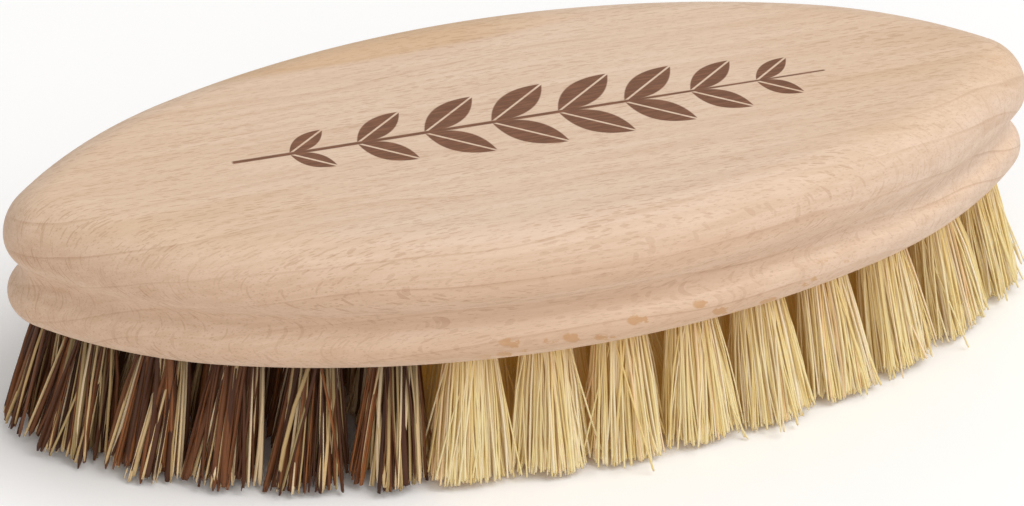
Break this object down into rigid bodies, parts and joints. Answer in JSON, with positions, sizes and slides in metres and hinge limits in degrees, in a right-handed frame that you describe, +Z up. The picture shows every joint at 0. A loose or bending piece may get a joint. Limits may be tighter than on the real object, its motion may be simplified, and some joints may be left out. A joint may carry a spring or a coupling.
{
  "type": "vegetable brush",
  "caption": "Oval hand brush for scrubbing vegetables: a moulded beech block with hard dark bristles at one end and soft pale bristles over the rest.",
  "frame": {"origin": "centre of the bounding box's base, on the surface that the bristle tips stand on", "axes": "+X along the block from the hard bristles towards the soft ones, +Y across the block towards its back, +Z up out of the block's flat top"},
  "size_m": [0.1359, 0.0575, 0.0365],
  "materials": {
    "beech": "fine sanded bare beech, unvarnished",
    "hard_bristle": "stiff dark brown plant fibre mixed with some straw-coloured fibre",
    "soft_bristle": "fine pale yellow plant fibre with a slight gloss",
    "anchor_wire": "flat drawn steel wire"
  },
  "bodies": {
    "root": {"block": "beech", "hard_anchors": "anchor_wire", "soft_anchors": "anchor_wire", "hard_tuft_01": "hard_bristle", "hard_tuft_02": "hard_bristle", "hard_tuft_03": "hard_bristle", "hard_tuft_04": "hard_bristle", "hard_tuft_05": "hard_bristle", "hard_tuft_06": "hard_bristle", "hard_tuft_07": "hard_bristle", "hard_tuft_08": "hard_bristle", "hard_tuft_09": "hard_bristle", "hard_tuft_10": "hard_bristle", "hard_tuft_11": "hard_bristle", "hard_tuft_12": "hard_bristle", "hard_tuft_13": "hard_bristle", "hard_tuft_14": "hard_bristle", "hard_tuft_15": "hard_bristle", "hard_tuft_16": "hard_bristle", "hard_tuft_17": "hard_bristle", "hard_tuft_18": "hard_bristle", "hard_tuft_19": "hard_bristle", "soft_tuft_01": "soft_bristle", "soft_tuft_02": "soft_bristle", "soft_tuft_03": "soft_bristle", "soft_tuft_04": "soft_bristle", "soft_tuft_05": "soft_bristle", "soft_tuft_06": "soft_bristle", "soft_tuft_07": "soft_bristle", "soft_tuft_08": "soft_bristle", "soft_tuft_09": "soft_bristle", "soft_tuft_10": "soft_bristle", "soft_tuft_11": "soft_bristle", "soft_tuft_12": "soft_bristle", "soft_tuft_13": "soft_bristle", "soft_tuft_14": "soft_bristle", "soft_tuft_15": "soft_bristle", "soft_tuft_16": "soft_bristle", "soft_tuft_17": "soft_bristle", "soft_tuft_18": "soft_bristle", "soft_tuft_19": "soft_bristle", "soft_tuft_20": "soft_bristle", "soft_tuft_21": "soft_bristle", "soft_tuft_22": "soft_bristle", "soft_tuft_23": "soft_bristle", "soft_tuft_24": "soft_bristle", "soft_tuft_25": "soft_bristle", "soft_tuft_26": "soft_bristle", "soft_tuft_27": "soft_bristle", "soft_tuft_28": "soft_bristle", "soft_tuft_29": "soft_bristle", "soft_tuft_30": "soft_bristle", "soft_tuft_31": "soft_bristle", "soft_tuft_32": "soft_bristle", "soft_tuft_33": "soft_bristle", "soft_tuft_34": "soft_bristle", "soft_tuft_35": "soft_bristle", "soft_tuft_36": "soft_bristle", "soft_tuft_37": "soft_bristle"}
  },
  "joints": []
}
